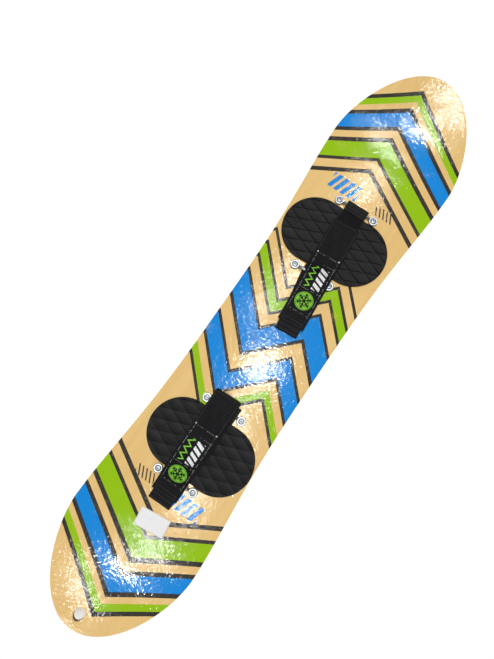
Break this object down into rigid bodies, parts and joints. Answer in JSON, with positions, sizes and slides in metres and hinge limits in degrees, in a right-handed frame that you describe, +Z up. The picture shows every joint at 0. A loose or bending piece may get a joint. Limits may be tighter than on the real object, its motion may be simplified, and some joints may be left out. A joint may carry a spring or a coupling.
{
  "type": "snowboard",
  "caption": "Child's wooden snowboard with turned-up ends, rubber foot pads and hook and loop strap bindings on steel bails.",
  "frame": {"origin": "on the ground under the middle of the board, at the bottom centre of its box", "axes": "+X along the board towards the nose, which has the cord hole; +Y across the board; +Z up, square to the flat of the base"},
  "size_m": [1.086, 0.2384, 0.0611],
  "materials": {
    "deck_wood": "glossy lacquer over birch with printed bands",
    "pad_rubber": "moulded matt rubber with a diamond tread",
    "zinc_steel": "bright zinc plate",
    "nut_steel": "dull zinc plate",
    "webbing": "woven nylon webbing",
    "hook_tape": "stiff nylon hooks",
    "loop_tape": "brushed nylon loops",
    "label": "printed satin cloth, sewn on"
  },
  "bodies": {
    "board": {"deck": "deck_wood", "front_foot_pad": "pad_rubber", "front_anchor_bail": "zinc_steel", "front_anchor_left_washer": "zinc_steel", "front_anchor_left_screw": "zinc_steel", "front_anchor_left_tee_nut": "nut_steel", "front_anchor_right_washer": "zinc_steel", "front_anchor_right_screw": "zinc_steel", "front_anchor_right_tee_nut": "nut_steel", "front_cinch_bail": "zinc_steel", "front_cinch_left_washer": "zinc_steel", "front_cinch_left_screw": "zinc_steel", "front_cinch_left_tee_nut": "nut_steel", "front_cinch_right_washer": "zinc_steel", "front_cinch_right_screw": "zinc_steel", "front_cinch_right_tee_nut": "nut_steel", "front_web": "webbing", "front_loop_tape": "loop_tape", "front_fold": "webbing", "rear_foot_pad": "pad_rubber", "rear_anchor_bail": "zinc_steel", "rear_anchor_left_washer": "zinc_steel", "rear_anchor_left_screw": "zinc_steel", "rear_anchor_left_tee_nut": "nut_steel", "rear_anchor_right_washer": "zinc_steel", "rear_anchor_right_screw": "zinc_steel", "rear_anchor_right_tee_nut": "nut_steel", "rear_cinch_bail": "zinc_steel", "rear_cinch_left_washer": "zinc_steel", "rear_cinch_left_screw": "zinc_steel", "rear_cinch_left_tee_nut": "nut_steel", "rear_cinch_right_washer": "zinc_steel", "rear_cinch_right_screw": "zinc_steel", "rear_cinch_right_tee_nut": "nut_steel", "rear_web": "webbing", "rear_loop_tape": "loop_tape", "rear_fold": "webbing"},
    "front_closure": {"front_flap": "webbing", "front_turnback": "webbing", "front_hook_tape": "hook_tape", "front_label": "label"},
    "rear_closure": {"rear_flap": "webbing", "rear_turnback": "webbing", "rear_hook_tape": "hook_tape", "rear_label": "label"}
  },
  "joints": [
    {"name": "front_flap_open", "type": "hinge", "parent": "board", "child": "front_closure", "pos_m": [0.3226, 0.0026, 0.0136], "axis": [-0.018, 0.9998, 0], "range_deg": [0, 150], "deforming": ["front_fold"]},
    {"name": "rear_flap_open", "type": "hinge", "parent": "board", "child": "rear_closure", "pos_m": [-0.031, 0.0164, 0.0136], "axis": [-0.0827, 0.9966, 0], "range_deg": [0, 150], "deforming": ["rear_fold"]}
  ]
}
